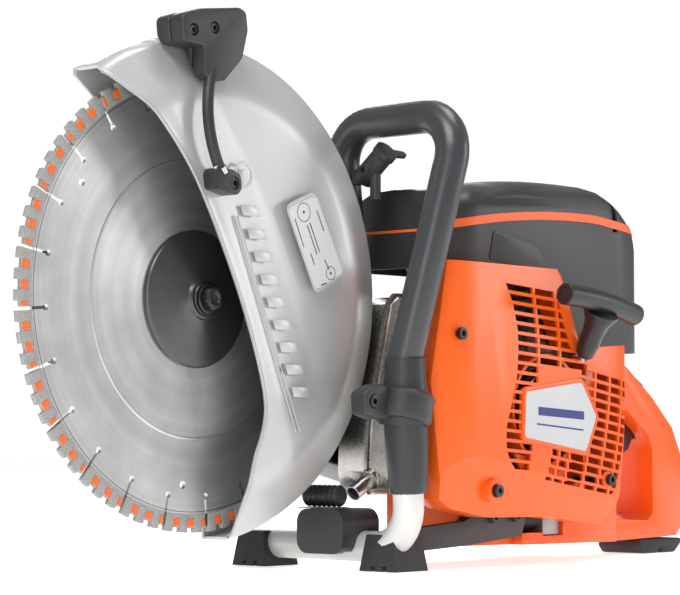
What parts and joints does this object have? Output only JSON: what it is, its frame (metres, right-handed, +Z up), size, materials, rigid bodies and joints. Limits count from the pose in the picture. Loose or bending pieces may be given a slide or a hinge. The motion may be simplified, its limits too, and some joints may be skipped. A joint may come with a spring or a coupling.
{
  "type": "concrete cut-off saw",
  "caption": "Petrol cut-off saw: diamond blade in a tilting guard on a belt-drive arm, two-stroke engine with recoil starter, tubular front handle and rear loop handle.",
  "frame": {"origin": "on the ground, below the middle of the machine's bounding box", "axes": "+X along the machine from the blade to the rear handle, -Y to the starter side, +Z up"},
  "size_m": [0.799, 0.2433, 0.432],
  "materials": {
    "steel_blade": "brushed",
    "diamond": "sintered, side faces painted orange",
    "dark_steel": "phosphated",
    "bright_steel": "machined",
    "cast_alu": "as cast",
    "dark_cast": "satin",
    "guard_paint": "silver-grey satin paint",
    "label": "satin",
    "dark_plastic": "fine moulded grain",
    "charcoal_plastic": "satin",
    "orange_plastic": "gloss",
    "orange_trim": "satin",
    "rubber": "matte",
    "grip_coating": "semi-gloss dip",
    "tube_steel": "galvanised",
    "stainless": "stamped, heat tinted",
    "filter_paper": "pleated paper",
    "ceramic": "glazed",
    "rope": "braided"
  },
  "bodies": {
    "machine": {"ball_bearings": "bright_steel", "cutting_arm": "dark_cast", "drive_belt": "rubber", "belt_cover": "dark_plastic", "case_screws": "dark_steel", "front_handle": "tube_steel", "handle_grip": "grip_coating", "handle_collar": "dark_plastic", "handle_sleeve": "dark_plastic", "front_feet": "rubber", "rear_foot": "rubber", "front_bumper": "dark_plastic", "support_bar": "dark_cast", "av_springs": "rubber", "av_bracket": "cast_alu", "crankcase_left": "cast_alu", "crankcase_right": "cast_alu", "cylinder_barrel": "cast_alu", "spark_plug": "ceramic", "muffler": "stainless", "exhaust_pipe": "stainless", "carburettor": "cast_alu", "air_filter": "filter_paper", "recoil_spring": "bright_steel", "starter_cover": "orange_plastic", "starter_badge": "label", "top_cover": "charcoal_plastic", "cover_stripe": "orange_trim", "tank_handle": "orange_plastic", "water_valve": "dark_cast"},
    "blade": {"blade_core": "steel_blade", "blade_segments": "diamond", "outer_flange": "dark_steel", "inner_flange": "dark_steel", "blade_bolt": "dark_steel", "blade_spindle": "bright_steel", "driven_pulley": "cast_alu"},
    "drum": {"clutch_drum": "bright_steel"},
    "crank": {"crankshaft": "bright_steel", "clutch_hub": "bright_steel", "clutch_shoes": "cast_alu", "flywheel": "cast_alu"},
    "guard": {"blade_guard": "guard_paint", "guard_label": "label", "guard_handle_front": "dark_plastic", "guard_handle_rear": "dark_plastic", "guard_hose": "rubber", "guard_nozzle": "dark_plastic"},
    "piston": {"piston": "cast_alu", "con_rod": "bright_steel"},
    "reel": {"starter_reel": "dark_plastic"},
    "pull": {"pull_handle": "dark_plastic", "starter_rope": "rope"},
    "trigger": {"throttle_trigger": "dark_plastic"},
    "lockout": {"throttle_lockout": "dark_plastic"},
    "stop": {"stop_switch": "dark_plastic"},
    "cap": {"fuel_cap": "dark_plastic"},
    "choke": {"choke_knob": "dark_plastic"},
    "purge": {"purge_bulb": "rubber"},
    "tap": {"water_lever": "dark_plastic"}
  },
  "joints": [
    {"name": "blade_spin", "type": "hinge", "parent": "machine", "child": "blade", "pos_m": [-0.2225, 0.008, 0.211], "axis": [0, 1, 0], "continuous": true},
    {"name": "drum_spin", "type": "hinge", "parent": "machine", "child": "drum", "pos_m": [0.1075, 0.078, 0.129], "axis": [0, 1, 0], "continuous": true},
    {"name": "crank_spin", "type": "hinge", "parent": "machine", "child": "crank", "pos_m": [0.1075, 0.008, 0.129], "axis": [0, 1, 0], "continuous": true},
    {"name": "guard_tilt", "type": "hinge", "parent": "machine", "child": "guard", "pos_m": [-0.2225, 0.008, 0.211], "axis": [0, 1, 0], "range_deg": [-30, 30]},
    {"name": "piston_slide", "type": "slide", "parent": "machine", "child": "piston", "axis": [0, 0, -1], "range_m": [0, 0.036]},
    {"name": "pull_slide", "type": "slide", "parent": "machine", "child": "pull", "axis": [-0.0824, -0.4945, 0.8653], "range_m": [0, 0.45], "stiffness_N_per_m": 12, "springref_m": -0.5, "deforming": ["starter_rope"]},
    {"name": "reel_spin", "type": "hinge", "parent": "machine", "child": "reel", "pos_m": [0.1075, -0.07, 0.129], "axis": [0, 1, 0], "range_deg": [-5, 800]},
    {"name": "trigger_pull", "type": "hinge", "parent": "machine", "child": "trigger", "pos_m": [0.3135, 0.008, 0.133], "axis": [0, 1, 0], "range_deg": [-12, 0], "stiffness_Nm_per_rad": 0.5, "springref_deg": 11.46},
    {"name": "lockout_press", "type": "hinge", "parent": "machine", "child": "lockout", "pos_m": [0.3335, 0.008, 0.15], "axis": [0, 1, 0], "range_deg": [0, 12], "stiffness_Nm_per_rad": 0.3, "springref_deg": -11.46},
    {"name": "stop_slide", "type": "slide", "parent": "machine", "child": "stop", "axis": [1, 0, 0], "range_m": [0, 0.006]},
    {"name": "cap_turn", "type": "hinge", "parent": "machine", "child": "cap", "pos_m": [0.2315, 0.078, 0.083], "axis": [0, 1, 0], "range_deg": [-180, 0]},
    {"name": "choke_pull", "type": "slide", "parent": "machine", "child": "choke", "axis": [0, -1, 0], "range_m": [0, 0.012]},
    {"name": "purge_press", "type": "slide", "parent": "machine", "child": "purge", "axis": [0, 1, 0], "range_m": [0, 0.003], "stiffness_N_per_m": 300, "springref_m": -0.002},
    {"name": "tap_turn", "type": "hinge", "parent": "machine", "child": "tap", "pos_m": [-0.0185, -0.005, 0.337], "axis": [0, -0.774, 0.6332], "range_deg": [0, 60]}
  ],
  "couplings": [
    {"joint": "drum_spin", "follows": "blade_spin", "ratio": 2},
    {"joint": "reel_spin", "follows": "pull_slide", "rad_per_m": 30.303}
  ]
}
